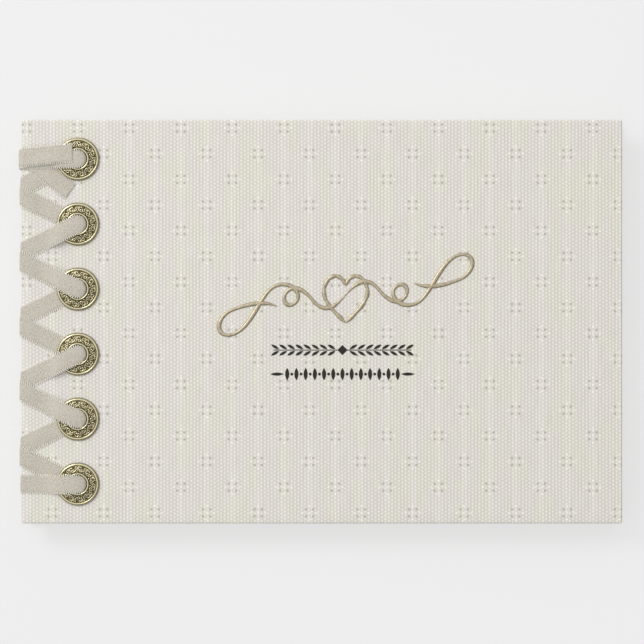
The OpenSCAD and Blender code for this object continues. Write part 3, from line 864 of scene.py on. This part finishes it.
def engraving_tree(material):
    """Scrolls and leaves round each eyelet's band, and a ring of beads inside its rim."""
    tree = Growth("eyelet_engraving", {
        "Scrolls": 11, "Band Radius": BAND_R, "Scroll Size": 0.98 * MM, "Line": 0.21 * MM,
        "Beads": 60, "Bead Radius": 0.2 * MM, "Bead Ring": 7.08 * MM, "Seed": 3, "Material": material})
    parts = []
    large = (False, (-0.62 * MM, 0.3 * MM, 0), 1.0)
    small = (True, (0.95 * MM, -0.4 * MM, 0), 0.8)
    for reverse, shift, size in (large, small):
        reach = tree.math("MULTIPLY", tree.take("Scroll Size"), size)
        spiral = tree.shape("CurveSpiral", {
            "Resolution": 16, "Rotations": 1.15, "Start Radius": 0.12 * MM, "Height": 0.0,
            "End Radius": reach, "Reverse": reverse})
        parts.append(tree.shape("Transform", {"Geometry": spiral, "Translation": shift}))
    parts.append(tree.shape("CurveQuadraticBezier", {
        "Resolution": 8, "Start": (-1.25 * MM, -0.95 * MM, 0), "Middle": (0.1 * MM, 1.5 * MM, 0),
        "End": (1.35 * MM, 0.75 * MM, 0)}))
    line = tree.shape("CurvePrimitiveCircle", {"Resolution": 6, "Radius": tree.take("Line")})
    parts = [tree.shape("CurveToMesh", {
        "Curve": tree.join(*parts), "Profile Curve": line, "Fill Caps": True})]
    for place, turn in (((0.35 * MM, 1.05 * MM, 0), 0.5), ((-0.3 * MM, -1.0 * MM, 0), 2.4),
                        ((1.25 * MM, 0.7 * MM, 0), 1.2), ((0.1 * MM, -0.1 * MM, 0), 0.8)):
        petal = tree.shape("MeshUVSphere", {"Segments": 8, "Rings": 5, "Radius": 0.55 * MM})
        parts.append(tree.shape("Transform", {
            "Geometry": petal, "Translation": place, "Rotation": (0, 0, turn), "Scale": (1.0, 0.42, 0.5)}))
    scroll = tree.join(*parts)
    # Each scroll is turned to its bearing round the band and tilted to the band's slope
    band = tree.shape("MeshCircle", {"Vertices": tree.take("Scrolls"), "Radius": tree.take("Band Radius")})
    split = tree.node("ShaderNodeSeparateXYZ", {0: tree.node("GeometryNodeInputPosition").outputs[0]})
    bearing = tree.math("ARCTAN2", split.outputs[1], split.outputs[0])
    facing = tree.vector(X=-math.atan(BAND_SLOPE), Z=tree.math("ADD", bearing, -math.pi / 2))
    scrolls = tree.shape("InstanceOnPoints", {"Points": band, "Instance": scroll, "Rotation": facing})
    rim = tree.shape("MeshCircle", {"Vertices": tree.take("Beads"), "Radius": tree.take("Bead Ring")})
    bead = tree.shape("MeshIcoSphere", {"Radius": tree.take("Bead Radius"), "Subdivisions": 1})
    sunk = tree.shape("Transform", {"Geometry": bead, "Translation": (0, 0, -0.2 * MM)})
    beads = tree.shape("InstanceOnPoints", {"Points": rim, "Instance": sunk})
    ornament = tree.node("GeometryNodeGeometryToInstance")
    tree.tree.links.new(scrolls, ornament.inputs[0])
    tree.tree.links.new(beads, ornament.inputs[0])
    chance = tree.node("FunctionNodeRandomValue", {
        2: 0.0, 3: 2 * math.pi, "Seed": tree.take("Seed")}, data_type="FLOAT")
    placed = tree.shape("InstanceOnPoints", {
        "Points": tree.take("Geometry"), "Instance": ornament.outputs[0],
        "Rotation": tree.vector(Z=chance.outputs[1])})
    tree.end(placed, tree.take("Material"))
    return tree


def engraving():
    """The raised ornament of all six front eyelets, bright where it stands proud of the band."""
    rubbed_height = 0.16 * MM
    centres = mesh_object("eyelet_engraving", [(EYELET_X, y, FRONT_Z + BAND_H) for y in EYELET_Y], [])
    engraving_tree(BRASS).grow(centres)
    worn = []
    for vertex in centres.data.vertices:
        nearest = min(EYELET_Y, key=lambda y: abs(y - vertex.co.y))
        radius = math.hypot(vertex.co.x - EYELET_X, vertex.co.y - nearest)
        proud = vertex.co.z - FRONT_Z - BAND_H + BAND_SLOPE * (radius - BAND_R)
        worn.append(0.8 - 0.85 * min(max(proud / rubbed_height, 0), 1))
    set_float_attribute(centres, "patina", worn)
    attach(centres, "binding")


engraving()

# ------------------------------------------------------------------ ribbon
# Stations of a strand, in millimetres: x from its eyelet, height over the cloth, how far it has gone
# sideways, its half width, and how far it cups along X
OVER_FRONT = [
    (3.28, -2.6, 0, 2.7, -1.22), (3.28, -0.6, 0, 2.7, -1.22), (3.26, 0.7, 0, 2.75, -1.15),
    (2.9, 1.3, 0, 2.85, -0.8), (1.6, 1.72, 0, 3.1, -0.3), (-0.9, 1.95, 0.9, 3.4, 0),
    (-4.4, 2.0, 4.4, 3.45, 0), (-7.6, 1.8, 7.6, 3.45, 0), (-9.4, 1.15, 9.4, 3.45, 0),
    (-11.0, 0.5, 11.0, 3.45, 0), (-13.0, 0.22, 13.0, 3.45, 0)]
UNDER_FRONT = [
    (-3.0, -2.6, 0, 2.65, 0.95), (-3.0, -0.8, 0, 2.65, 0.95), (-3.15, -0.1, 0.1, 2.65, 0.8),
    (-4.1, 0.22, 2.2, 3.0, 0.3), (-5.6, 0.24, 5.6, 3.4, 0), (-9.0, 0.22, 9.0, 3.45, 0),
    (-13.0, 0.22, 13.0, 3.45, 0)]
FAR_BACK = [
    (-13.0, 0.22, 13.0, 3.45, 0), (-10.5, 0.5, 10.5, 3.45, 0), (-8.6, 0.98, 8.6, 3.45, 0),
    (-2.0, 0.98, 2.0, 3.3, 0), (1.6, 0.95, 0, 2.9, -0.3), (2.8, 0.7, 0, 2.7, -0.8),
    (3.0, 0.0, 0, 2.7, -0.95), (3.0, -1.6, 0, 2.7, -0.95)]
NEAR_BACK = [
    (-13.0, 0.22, 13.0, 3.45, 0), (-9.0, 0.3, 9.0, 3.45, 0), (-6.6, 0.7, 6.6, 3.45, 0),
    (-4.2, 0.72, 3.4, 3.1, 0.2), (-3.2, 0.45, 0.3, 2.7, 0.7), (-3.0, -0.2, 0, 2.65, 0.95),
    (-3.0, -1.6, 0, 2.65, 0.95)]
STRAIGHT_HALF = 3.1
SLANT_HALF = 3.45
LOW = 0.22
LAYER = 0.35
TIE_Z = (FRONT_Z + BACK_Z) / 2


def station(x, y, z, half=SLANT_HALF, cup=0.0):
    return (x, y, z, half * MM, cup * MM)


def half_of(half, lean):
    """Half a strand's width along Y: a slanting strand is wider along Y than a straight one."""
    return half if lean else min(half, STRAIGHT_HALF)


def strand(table, edge, k, lean, face_z, up):
    """A strand's stations over a cover: those near eyelet k from its table, and those near the spine edge.
    lean is 1 head-ward and -1 tail-ward; up is 1 on the front and -1 on the back."""
    slope = lean * LACE_SLOPE
    near_eyelet, near_edge = [], []
    for x, z, side, half, cup in table:
        near_eyelet.append(station(EYELET_X + x * MM, EYELET_Y[k - 1] + slope * side * MM,
                                   face_z + up * z * MM, half_of(half, lean), cup))
    for x, z in edge:
        near_edge.append(station(SPINE_X + x * MM, EYELET_Y[k - 1] + slope * (INSET - x * MM),
                                 face_z + up * z * MM, half_of(SLANT_HALF, lean)))
    return near_eyelet, near_edge


def front_strand(k, lean, over, low, top):
    """Up from the bore of eyelet k and over the cover to the spine edge, no lower than low there."""
    table = [(x, max(z, low) if x < -9 else z, side, half, cup)
             for x, z, side, half, cup in (OVER_FRONT if over else UNDER_FRONT)]
    near_eyelet, near_edge = strand(table, ((7.0, low), (4.2, top), (0.9, top)), k, lean, FRONT_Z, 1)
    return near_eyelet + near_edge


def back_strand(k, lean, far, top):
    """In from the spine edge over the back cover and up into the bore of eyelet k."""
    table = FAR_BACK if far else NEAR_BACK
    near_eyelet, near_edge = strand(table, ((0.9, top), (4.2, top), (7.0, LOW)), k, lean, BACK_Z, -1)
    return near_edge + near_eyelet


def round_spine(front_y, back_y, half, out):
    """Down the spine from a front height to a back height, standing off by out."""
    over, under = 0.95 * out * MM, 0.55 * out * MM
    steps = (
        (-0.1, 0.0, FRONT_Z + over), (out, 0.02, FRONT_Z + under), (out, 0.12, FRONT_Z - 1.2 * MM),
        (out - 0.12, 0.5, TIE_Z), (out, 0.88, BACK_Z + 1.2 * MM), (out, 0.98, BACK_Z - under),
        (-0.1, 1.0, BACK_Z - over))
    return [station(SPINE_X - x * MM, front_y + (back_y - front_y) * f, z, half) for x, f, z in steps]


def whole_turn(a, b, over, far, out):
    """From front eyelet a over the cover, round the spine and over the back to back eyelet b."""
    lean = (b > a) - (b < a)
    front_y = EYELET_Y[a - 1] - lean * LACE_SLOPE * INSET
    back_y = EYELET_Y[b - 1] + lean * LACE_SLOPE * INSET
    half = SLANT_HALF if lean else STRAIGHT_HALF
    return (front_strand(a, -lean, over, LOW, out) + round_spine(front_y, back_y, half, out)
            + back_strand(b, lean, far, out))


def tie_station(x, z):
    """A station of a straight strand level with the first eyelets, x millimetres outside the spine."""
    return station(SPINE_X - x * MM, EYELET_Y[0], z, STRAIGHT_HALF)


def lacing_route():
    """Down the book on one set of strands and back up on the other, from the tie to the tie."""
    inner, outer, high = LOW, LOW + LAYER, LOW + 2 * LAYER
    route = [tie_station(inner, TIE_Z - 0.3 * MM), tie_station(inner, BACK_Z + 1.0 * MM),
             tie_station(inner, BACK_Z - 0.12 * MM), tie_station(-0.1, BACK_Z - 0.21 * MM)]
    route += back_strand(1, 0, False, inner)
    for k in range(1, EYELETS):
        route += whole_turn(k, k + 1, k % 2 == 0, (k + 1) % 2 == 0, inner)
    route += whole_turn(EYELETS, EYELETS, True, False, inner)
    for k in range(EYELETS, 1, -1):
        route += whole_turn(k, k - 1, k % 2 == 1, k % 2 == 0, outer)
    route += front_strand(1, 0, True, high, high)
    route += [tie_station(-0.05, FRONT_Z + (high - 0.03) * MM), tie_station(outer, FRONT_Z + 0.5 * MM),
              tie_station(outer, FRONT_Z - 1.5 * MM), tie_station(outer, TIE_Z + 0.3 * MM)]
    return route


ACROSS = 8
CROWN = 0.04 * MM
CUT_FADE = 6 * MM


def ribbon_mesh(name, route, cut_slant=0.0):
    """A ribbon along a route, its cross threads kept parallel to Y; also its two edges for the picots.
    cut_slant leans the cut at the last end: how far each edge runs on or stops short."""
    path = rounded(route)
    middle_line, half, cup = path[:, :3], path[:, 3], path[:, 4]
    tangent = np.gradient(middle_line, axis=0)
    tangent /= np.linalg.norm(tangent, axis=1)[:, None] + 1e-12
    outward = -np.cross(tangent, (0, 1, 0))
    outward /= np.linalg.norm(outward, axis=1)[:, None] + 1e-12
    way = np.concatenate([[0], np.cumsum(np.linalg.norm(np.diff(middle_line, axis=0), axis=1))])
    slant = cut_slant * np.clip(1 - (way[-1] - way) / CUT_FADE, 0, 1)
    points, uvs, edges = [], [], [[], []]
    for i in range(len(path)):
        for face in (1, -1):
            for j in range(ACROSS + 1):
                t = (2 * j / ACROSS - 1) * (1 if face == 1 else -1)
                place = middle_line[i] + np.array((cup[i] * t * t, t * half[i], 0))
                place += tangent[i] * slant[i] * t
                thick = RIBBON_T / 2 * (1 - 0.35 * t ** 8)
                points.append(place + outward[i] * (face * thick + CROWN * (1 - t * t)))
                uvs.append(((way[i] + slant[i] * t + t * half[i] * tangent[i][1]) / MM,
                            t * half[i] * math.sqrt(max(1 - tangent[i][1] ** 2, 0.05)) / MM))
                if face == 1 and j in (0, ACROSS):
                    edges[j > 0].append((place, tangent[i], outward[i], t, cup[i]))
    ring = 2 * (ACROSS + 1)
    ribbon = mesh_object(name, points, ring_faces(len(path), ring) + end_faces(len(points), ring))
    set_corner_uv(ribbon, uvs)
    face_outwards(ribbon, weld=False)
    crease(ribbon, 60)
    paint(ribbon, RIBBON)
    return ribbon, edges


def picot_tree(material):
    """Small thread loops at an even pitch along each edge of a ribbon."""
    tree = Growth("picot_edging", {
        "Pitch": PICOT * MM, "Reach": 0.84 * MM, "Loop Width": 0.2 * MM, "Thread": 0.13 * MM,
        "Material": material})
    line = tree.shape("MeshToCurve", {"Mesh": tree.take("Geometry")})
    line = tree.shape("ResampleCurve", {"Curve": line, "Length": tree.take("Pitch")}, mode="LENGTH")
    points = tree.shape("CurveToPoints", {"Curve": line}, mode="EVALUATED")
    width = tree.take("Loop Width")
    root = -0.15 * MM
    start = tree.vector(X=root, Y=tree.math("MULTIPLY", width, -1.0))
    end = tree.vector(X=root, Y=width)
    tip = tree.vector(X=tree.math("MULTIPLY", tree.take("Reach"), 1.9), Y=width, Z=0.06 * MM)
    loop = tree.shape("CurveQuadraticBezier", {"Resolution": 7, "Start": start, "Middle": tip, "End": end})
    profile = tree.shape("CurvePrimitiveCircle", {"Resolution": 4, "Radius": tree.take("Thread")})
    thread = tree.shape("CurveToMesh", {"Curve": loop, "Profile Curve": profile, "Fill Caps": True})
    beside = tree.shape("InputNamedAttribute", {"Name": "beside"}, data_type="FLOAT_VECTOR")
    facing = tree.shape("InputNamedAttribute", {"Name": "facing"}, data_type="FLOAT_VECTOR")
    room = tree.shape("InputNamedAttribute", {"Name": "room"}, data_type="FLOAT")
    aim = tree.node("FunctionNodeAlignRotationToVector", {"Vector": beside}, axis="X")
    aim = tree.node("FunctionNodeAlignRotationToVector", {
        "Rotation": aim.outputs[0], "Vector": facing}, axis="Z", pivot_axis="X")
    placed = tree.shape("InstanceOnPoints", {
        "Points": points, "Instance": thread, "Rotation": aim.outputs[0],
        "Scale": tree.vector(X=room, Y=1.0, Z=1.0)})
    tree.end(placed, tree.take("Material"))
    return tree


def picots(name, all_edges):
    """The picots of several ribbon edges, as one piece."""
    points, lines, beside, facing, room = [], [], [], [], []
    for edge in all_edges:
        base = len(points)
        for place, tangent, outward, t, cup in edge:
            side = np.array((0, 1.0, 0)) * t
            side = side - tangent * (side @ tangent)
            points.append(place + outward * 0.02 * MM)
            beside.append(side / (np.linalg.norm(side) + 1e-9))
            facing.append(outward)
            # The loops lie folded down where the ribbon cups inside an eyelet
            room.append(1.0 - 0.85 * min(abs(cup) / (0.5 * MM), 1))
        lines += [(base + i, base + i + 1) for i in range(len(edge) - 1)]
    source = mesh_object(name, points, [], loose=lines)
    set_vector_attribute(source, "beside", beside)
    set_vector_attribute(source, "facing", facing)
    set_float_attribute(source, "room", room)
    picot_tree(PICOT_THREAD).grow(source)
    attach(source, "binding")


def upper_tail_route():
    """Up from the tie, over the top strand and onto the flange of the first eyelet, cut square."""
    out = LOW + 2 * LAYER
    rise = LOW + 3 * LAYER
    steps = ((-out, 0, TIE_Z - FRONT_Z + 0.4 * MM), (-out, 0, -1 * MM), (-out, 0, 0.7 * MM),
             (0.3, 0.35, rise * MM), (1.8, 0.6, (rise + 0.1) * MM), (5, 0.95, (rise + 0.25) * MM),
             (9, 1.35, (rise + 0.5) * MM), (12, 1.65, 2.15 * MM), (15, 1.95, 2.4 * MM),
             (18, 2.15, 2.45 * MM), (20.1, 2.3, 2.35 * MM))
    return [station(SPINE_X + x * MM, EYELET_Y[0] + y * MM, FRONT_Z + z, 3.15) for x, y, z in steps]


TAIL_ANGLE = math.radians(37)


def lower_tail_route():
    """Up from the tie, under the top strand and down across the cover."""
    slope = math.tan(TAIL_ANGLE)
    wide = STRAIGHT_HALF / math.cos(TAIL_ANGLE)
    rise = LOW + LAYER
    steps = [(-LOW, 0.1, TIE_Z - FRONT_Z + 0.4 * MM, STRAIGHT_HALF), (-LOW, 0.1, -1 * MM, STRAIGHT_HALF),
             (-LOW, 0.3, 0.12 * MM, STRAIGHT_HALF), (0.2, 1.0, LOW * MM, 3.2),
             (1.6, 1.0, (LOW + 0.02) * MM, 3.5)]
    steps += [(x, 2.1 - x * slope, z * MM, wide) for x, z in (
        (4, rise), (9, rise + 0.02), (14, rise + 0.02), (17, rise - 0.05), (19.25, LOW + 0.12))]
    return [station(SPINE_X + x * MM, EYELET_Y[0] + y * MM, FRONT_Z + z, half) for x, y, z, half in steps]


TIE_SQUARENESS = 5.0


def tie_band():
    """The turn of ribbon that binds the strands together on the spine."""
    box_lo, box_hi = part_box("ribbon_knot")
    centre = (box_lo + box_hi) / 2
    reach = (box_hi - box_lo) / 2
    half = np.array((reach.x, reach.y)) - RIBBON_T / 2
    section = ((-1, 0.6), (-0.5, 1), (0.5, 1), (1, 0.6), (1, -0.6), (0.5, -1), (-0.5, -1), (-1, -0.6))
    points, uvs, steps = [], [], 72
    for i in range(steps):
        turn = 2 * math.pi * i / steps
        # A squarish oval round the strands, and the direction that faces away from it
        away = np.array((math.cos(turn), math.sin(turn)))
        flat = away * np.sum(np.abs(away / half) ** TIE_SQUARENESS) ** (-1 / TIE_SQUARENESS)
        normal = np.sign(flat) * np.abs(flat / half) ** (TIE_SQUARENESS - 1) / half
        normal /= np.linalg.norm(normal)
        for z, thick in section:
            spot = flat + normal * thick * RIBBON_T / 2
            gather = 0.048 * MM * math.cos(9 * turn + z)
            points.append((centre.x + spot[0], centre.y + spot[1], centre.z + z * reach.z + gather))
            uvs.append((turn * (half[0] + half[1]) / MM * 0.7, z * reach.z / MM))
    band = mesh_object("ribbon_tie", points, ring_faces(steps, len(section), closed=True))
    set_corner_uv(band, uvs)
    face_outwards(band)
    paint(crease(band, 60), RIBBON)
    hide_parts("ribbon_knot")
    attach(band, "binding")


def ribbons():
    lacing, lacing_edges = ribbon_mesh("lacing_ribbon_cloth", lacing_route())
    upper, upper_edges = ribbon_mesh("upper_tail_cloth", upper_tail_route())
    lower, lower_edges = ribbon_mesh("lower_tail_cloth", lower_tail_route(),
                                     cut_slant=STRAIGHT_HALF * MM * math.tan(TAIL_ANGLE))
    pieces = {"lacing_ribbon": lacing, "ribbon_tail_upper": upper, "ribbon_tail_lower": lower}
    for node, piece in pieces.items():
        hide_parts(node)
        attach(piece, "binding")
    picots("lacing_picots", lacing_edges)
    picots("tail_picots", upper_edges + lower_edges)
    tie_band()


ribbons()


# ------------------------------------------------------------------ title ornament
TITLE = middle("title_flourish")
STROKE_HALF = 0.78 * MM
STROKE_H = 0.5 * MM
# A stroke's half width along its way, as shares of STROKE_HALF: between swells, in them, and at its ends
THINNEST = 0.78
SWELL = 0.32
SWELLS = 7
POINT = 0.35
TAPER = 14
HALF_FLOURISH = [
    [(0, 0), (5, 6), (9, 7), (13, 2)],
    [(13, 2), (17, -3), (21, -4), (23.5, -0.5)],
    [(23.5, -0.5), (25.5, 3), (22, 5.5), (19.5, 3)],
    [(19.5, 3), (16, -1), (23, -7), (29, -2.5)],
    [(29, -2.5), (34, 1.5), (37, 13), (44, 15.5)],
    [(44, 15.5), (51, 17.5), (51.5, 9), (44.5, 6)],
    [(44.5, 6), (37, 3), (31, 2.5), (27, 4.5)]]
HEART_SIDE = [[(0, -11), (5, -6), (11, -1), (7.5, 5)], [(7.5, 5), (5, 9), (1, 7.5), (0, 3.5)]]


def along_curve(corners, steps):
    """Points along one cubic curve."""
    p = np.array(corners, float)
    t = np.linspace(0, 1, steps + 1)[:, None]
    u = 1 - t
    return u ** 3 * p[0] + 3 * u * u * t * p[1] + 3 * u * t * t * p[2] + t ** 3 * p[3]


def raised_line(points_2d, swell):
    """A pen line with a flat foot and a ridged, bevelled top; swell gives its half width along the way. Its
    edge values, 1 at the foot, say where painted shade darkens the line's lower sides.
    """
    path = np.array(points_2d) * MM
    tangent = np.gradient(path, axis=0)
    tangent /= np.linalg.norm(tangent, axis=1)[:, None]
    side = np.column_stack([-tangent[:, 1], tangent[:, 0]])
    rise = [(-1, 0), (-1, 0.3), (-0.82, 0.62), (-0.4, 0.92)]
    section = rise + [(0, 1)] + [(-s, h) for s, h in reversed(rise)]
    points, edge, count = [], [], len(section)
    for spot, across, half in zip(path, side, swell):
        for s, h in section:
            flat = spot + across * s * half
            points.append((TITLE.x + flat[0], TITLE.y + flat[1],
                           FRONT_Z + h * STROKE_H * (0.45 + 0.55 * half / STROKE_HALF)))
            # Painted shade: 1 at the line's foot, fading to 0 a little past halfway up its side
            edge.append(1 - min(h / 0.55, 1))
    return points, ring_faces(len(path), count) + end_faces(len(points), count), edge


def title_ornament():
    """Two mirrored flourishes and a heart, each drawn as one line that swells and thins."""
    swirl = np.vstack([along_curve(c, 16)[:-1] for c in HALF_FLOURISH] + [[HALF_FLOURISH[-1][-1]]])
    heart = np.vstack([along_curve(HEART_SIDE[0], 20)[:-1], along_curve(HEART_SIDE[1], 20)])
    lines = [swirl, -swirl, heart, heart * (-1, 1)]
    points, faces, edge = [], [], []
    for line in lines:
        way = np.linspace(0, 1, len(line))
        swell = STROKE_HALF * (THINNEST + SWELL * np.sin(way * math.pi * SWELLS) ** 2)
        swell *= np.clip(np.minimum(way, 1 - way) * TAPER + POINT, POINT, 1)
        more_points, more_faces, more_foot_shade = raised_line(line, swell)
        faces += [tuple(i + len(points) for i in face) for face in more_faces]
        points += more_points
        edge += more_foot_shade
    ornament = mesh_object("title_ornament", points, faces)
    # edge carries the painted shade at the foot of each line
    set_float_attribute(ornament, "edge", edge)
    face_outwards(ornament)
    paint(crease(ornament, 35), GOLD)
    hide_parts("title_flourish")
    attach(ornament, "front_cover")


title_ornament()

# ------------------------------------------------------------------ CAD nodes that stay, with their finishes
for side in SIDES:
    for part in ("panel", "strip"):
        paint(frame["nodes"][f"{side}_{part}_board"], BOARD)
    paint(frame["nodes"][f"{side}_eyelet_washers"], BRASS)
for name in ("name_band", "date_band"):
    paint(frame["nodes"][name], INK)


# ------------------------------------------------------------------ floor, light and camera
FLOOR_HALF = 3.0
FLOOR_TONE = (0.26, 0.26, 0.26, 1)
FLOOR_GLOW = 0.58
BACKDROP = 0.86
SKY_DARK = 0.22
SKY_BRIGHT = 1.2
SKY_LEAN = (-0.36, 0.36, 0.86)
KEY_AT = (-0.85, 0.75, 1.05)
KEY_SIZE = 0.55
KEY_POWER = 7.5
LENS = 100.0
SENSOR = 36.0
VIEW_WIDTH = 251.8 * MM
VIEW_SHIFT = (0.06 * MM, -0.14 * MM)


def studio():
    corners = [(x * FLOOR_HALF, y * FLOOR_HALF, 0) for x, y in ((-1, -1), (1, -1), (1, 1), (-1, 1))]
    floor = mesh_object("floor", corners, [(0, 1, 2, 3)], smooth=False)
    material, sheet, shader = finish_sheet("pale_floor", **{
        "Base Color": FLOOR_TONE, "Roughness": 0.9, "Specular IOR Level": 0.0,
        "Emission Color": (1.0, 1.0, 1.0, 1), "Emission Strength": FLOOR_GLOW})
    # Clear from underneath, so that the back of the book can be looked at where it lies
    clear = sheet.node("ShaderNodeBsdfTransparent")
    either = sheet.node("ShaderNodeMixShader")
    sheet.feed(either.inputs[0], sheet.node("ShaderNodeNewGeometry").outputs["Backfacing"])
    sheet.feed(either.inputs[1], shader.outputs[0])
    sheet.feed(either.inputs[2], clear.outputs[0])
    sheet.feed(material.node_tree.nodes["Material Output"].inputs["Surface"], either.outputs[0])
    paint(floor, material)

    world = bpy.data.worlds.new("studio")
    bpy.context.scene.world = world
    world.use_nodes = True
    sky = Sheet(world.node_tree)
    direction = sky.node("ShaderNodeTexCoord").outputs["Generated"]
    lean = sky.node("ShaderNodeVectorMath", operation="DOT_PRODUCT")
    sky.feed(lean.inputs[0], direction)
    lean.inputs[1].default_value = SKY_LEAN
    shade = sky.band(lean.outputs["Value"], -0.15, 1.0, SKY_DARK, SKY_BRIGHT)
    background = world.node_tree.nodes["Background"]
    background.inputs["Color"].default_value = (1.0, 1.0, 1.0, 1)
    seen = sky.node("ShaderNodeLightPath").outputs["Is Camera Ray"]
    lighting = sky.times(shade, sky.minus(1.0, seen))
    sky.feed(background.inputs["Strength"], sky.plus(lighting, sky.times(seen, BACKDROP)))

    key = bpy.data.lights.new("key", "AREA")
    key.shape = "DISK"
    key.size = KEY_SIZE
    key.energy = KEY_POWER
    key.color = (1.0, 1.0, 0.99)
    lamp = bpy.data.objects.new("key", key)
    lamp.location = Vector(KEY_AT)
    lamp.rotation_euler = (Vector((COVER_X, 0, 0)) - lamp.location).to_track_quat("-Z", "Y").to_euler()
    bpy.context.scene.collection.objects.link(lamp)


def camera():
    data = bpy.data.cameras.new("camera")
    data.lens = LENS
    data.sensor_width = SENSOR
    data.clip_start = 0.01
    eye = bpy.data.objects.new("camera", data)
    eye.location = (COVER_X + VIEW_SHIFT[0], VIEW_SHIFT[1], FRONT_Z + VIEW_WIDTH * LENS / SENSOR)
    bpy.context.scene.collection.objects.link(eye)
    bpy.context.scene.camera = eye
    bpy.context.scene.view_settings.view_transform = "Standard"
    bpy.context.scene.view_settings.look = "None"


studio()
camera()
